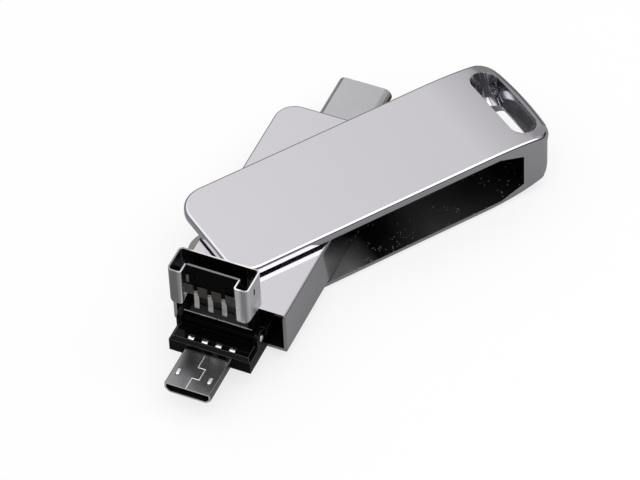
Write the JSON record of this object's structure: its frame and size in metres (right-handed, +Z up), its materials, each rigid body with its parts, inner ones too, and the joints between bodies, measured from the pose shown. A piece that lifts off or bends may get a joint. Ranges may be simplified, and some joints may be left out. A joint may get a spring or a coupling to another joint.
{
  "type": "usb flash drive",
  "caption": "Flash drive whose metal body turns between the plates of a swivel cover, with a USB-C plug at its rear and a hinged USB-A plug over a micro-USB plug in front.",
  "frame": {"origin": "where the swivel axis meets the cover's flat underside", "axes": "+Z up along the swivel axis, +X along the cover from its lanyard end to its open front, +Y to the left of +X"},
  "size_m": [0.0681, 0.0415, 0.0187],
  "materials": {
    "polished_metal": "polished zinc alloy, light silver grey",
    "plug_metal": "bright nickel-plated sheet steel",
    "turned_steel": "bright turned steel",
    "spring_steel": "plain spring steel",
    "washer_plastic": "slippery off-white plastic",
    "black_plastic": "satin black moulded plastic",
    "gloss_black": "glossy black moulded plastic",
    "board": "green solder resist",
    "chip_resin": "matt dark moulding resin",
    "ceramic": "tan ceramic with tinned ends",
    "gold": "thin gold plating",
    "spring_contacts": "bright plated spring strip"
  },
  "bodies": {
    "cover": {"cover": "polished_metal", "pivot_stud_upper": "turned_steel", "pivot_stud_lower": "turned_steel", "friction_washer_upper": "washer_plastic", "friction_washer_lower": "washer_plastic", "snap_ring_upper": "spring_steel", "snap_ring_lower": "spring_steel"},
    "body": {"body_sleeve": "polished_metal", "tray_upper": "black_plastic", "tray_lower": "black_plastic", "circuit_board": "board", "memory_chip": "chip_resin", "controller_chip": "chip_resin", "crystal": "spring_steel", "passives": "ceramic", "usb_c_shell": "plug_metal", "usb_c_housing": "black_plastic", "usb_c_contacts": "gold", "usb_c_latch_plate": "spring_steel", "carrier": "gloss_black", "carrier_contacts": "spring_contacts", "micro_usb_shell": "plug_metal", "micro_usb_housing": "black_plastic", "micro_usb_contacts": "gold", "hinge_pin": "turned_steel"},
    "flip_plug": {"flip_plug_shell": "plug_metal", "flip_plug_housing": "gloss_black", "flip_plug_contacts": "spring_contacts"},
    "micro_latch": {"micro_usb_latch": "spring_steel"}
  },
  "joints": [
    {"name": "swivel", "type": "hinge", "parent": "cover", "child": "body", "pos_m": [0, 0, 0.0054], "axis": [0, 0, 1], "range_deg": [-165.2, 94.8]},
    {"name": "flip_hinge", "type": "hinge", "parent": "body", "child": "flip_plug", "pos_m": [0.01687, 0.0119, 0.00655], "axis": [-0.5764, 0.8171, 0], "range_deg": [0, 90]},
    {"name": "latch_press", "type": "hinge", "parent": "body", "child": "micro_latch", "pos_m": [0.01634, 0.01153, 0.0049], "axis": [-0.5764, 0.8171, 0], "range_deg": [0, 1.4], "stiffness_Nm_per_rad": 0.02}
  ]
}
